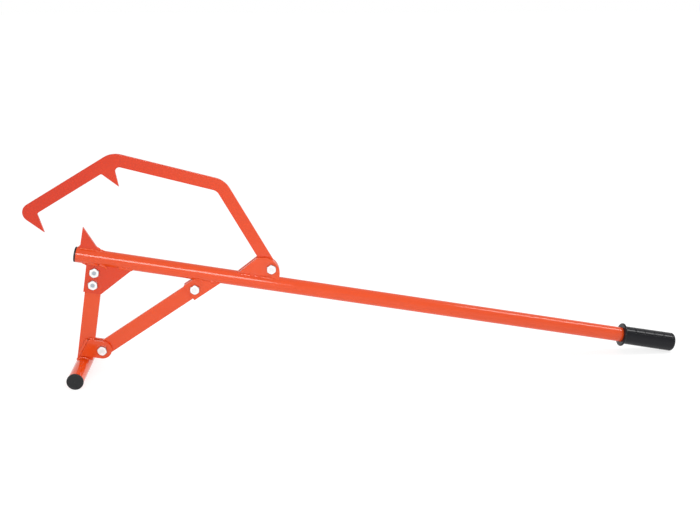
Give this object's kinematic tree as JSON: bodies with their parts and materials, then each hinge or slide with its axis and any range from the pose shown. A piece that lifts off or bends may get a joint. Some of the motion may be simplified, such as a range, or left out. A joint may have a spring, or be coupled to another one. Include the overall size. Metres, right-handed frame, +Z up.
{
  "type": "cant hook",
  "caption": "Log-lifting cant hook: long tube handle with a swinging toothed hook, a fixed spike, a bolted A-frame stand on a round cross foot, and a plastic grip.",
  "frame": {"origin": "on the floor, under the middle of the tool's length and width", "axes": "+X along the floor from the hook and stand towards the grip, +Y across the tool towards the nuts (the bolt heads face -Y), +Z up; the tool stands on its foot caps and its grip"},
  "size_m": [1.3, 0.18, 0.4348],
  "materials": {
    "orange_powder_coat": "glossy orange powder coat on mild steel",
    "zinc_plate": "bright zinc plated steel",
    "grip_plastic": "moulded black PVC, satin",
    "plug_plastic": "moulded black polyethylene, satin",
    "nylon": "natural nylon"
  },
  "bodies": {
    "frame": {"handle_tube": "orange_powder_coat", "handle_plug": "plug_plastic", "grip": "grip_plastic", "spike": "orange_powder_coat", "gusset_front": "orange_powder_coat", "gusset_rear": "orange_powder_coat", "leg": "orange_powder_coat", "leg_bolts": "zinc_plate", "leg_nuts": "zinc_plate", "foot_tube": "orange_powder_coat", "foot_cap_front": "plug_plastic", "foot_cap_rear": "plug_plastic", "foot_tab_front": "orange_powder_coat", "foot_tab_rear": "orange_powder_coat", "brace": "orange_powder_coat", "brace_bolts": "zinc_plate", "brace_nuts": "zinc_plate", "brace_bracket_front": "orange_powder_coat", "brace_bracket_rear": "orange_powder_coat", "hook_bracket_front": "orange_powder_coat", "hook_bracket_rear": "orange_powder_coat", "hook_bolt": "zinc_plate", "hook_nut": "zinc_plate", "nut_inserts": "nylon"},
    "hook": {"hook": "orange_powder_coat"}
  },
  "joints": [
    {"name": "hook_swing", "type": "hinge", "parent": "frame", "child": "hook", "pos_m": [-0.18597, 0, 0.20487], "axis": [0, 1, 0], "range_deg": [-16.5, 130]}
  ]
}
